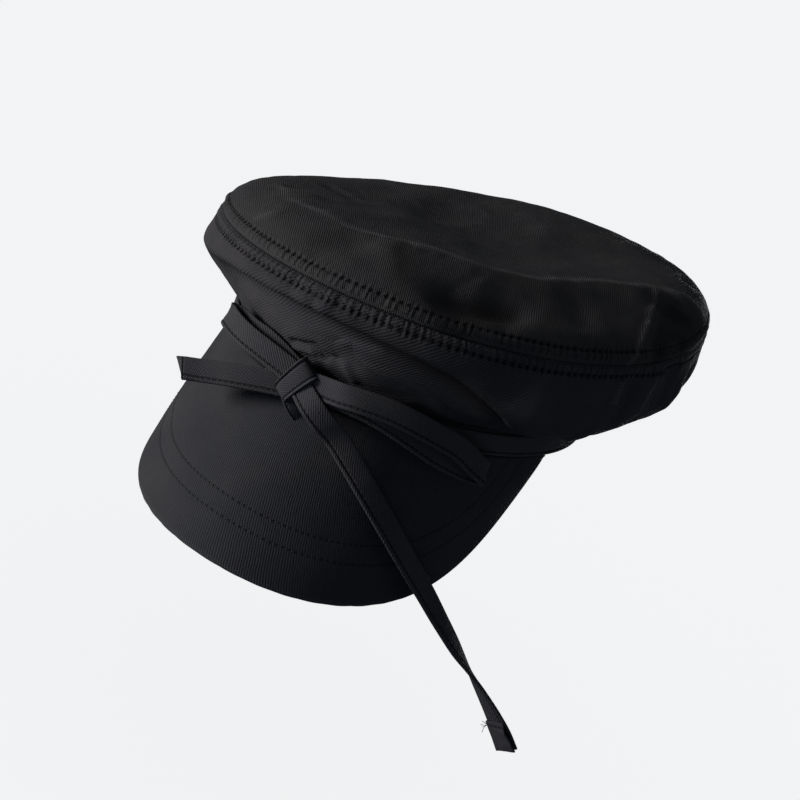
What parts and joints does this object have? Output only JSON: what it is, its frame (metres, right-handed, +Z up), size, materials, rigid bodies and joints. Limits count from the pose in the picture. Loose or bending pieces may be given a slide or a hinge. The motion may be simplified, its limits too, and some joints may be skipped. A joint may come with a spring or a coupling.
{
  "type": "sailor cap",
  "caption": "Soft twill sailor cap: full flat crown drooping over a low head band, a steep curved peak and a narrow tie knotted in a bow at the front.",
  "frame": {"origin": "middle of the head opening, level with the head band's lower edge", "axes": "+Z up through the crown, -Y to the front over the peak, +X to the wearer's left"},
  "size_m": [0.2493, 0.2896, 0.2045],
  "materials": {
    "crown_twill": "matt black cotton twill, a little worn on its ridges",
    "peak_twill": "matt black cotton twill over a stiff peak, two rows of stitching",
    "tie_twill": "matt black cotton twill, folded and edge-stitched"
  },
  "bodies": {
    "root": {"crown_top": "crown_twill", "crown_side": "crown_twill", "head_band": "crown_twill", "peak": "peak_twill", "tie_band": "tie_twill", "bow_knot": "tie_twill", "loop_right": "tie_twill", "loop_left": "tie_twill", "tail_short": "tie_twill", "tail_long": "tie_twill"}
  },
  "joints": []
}
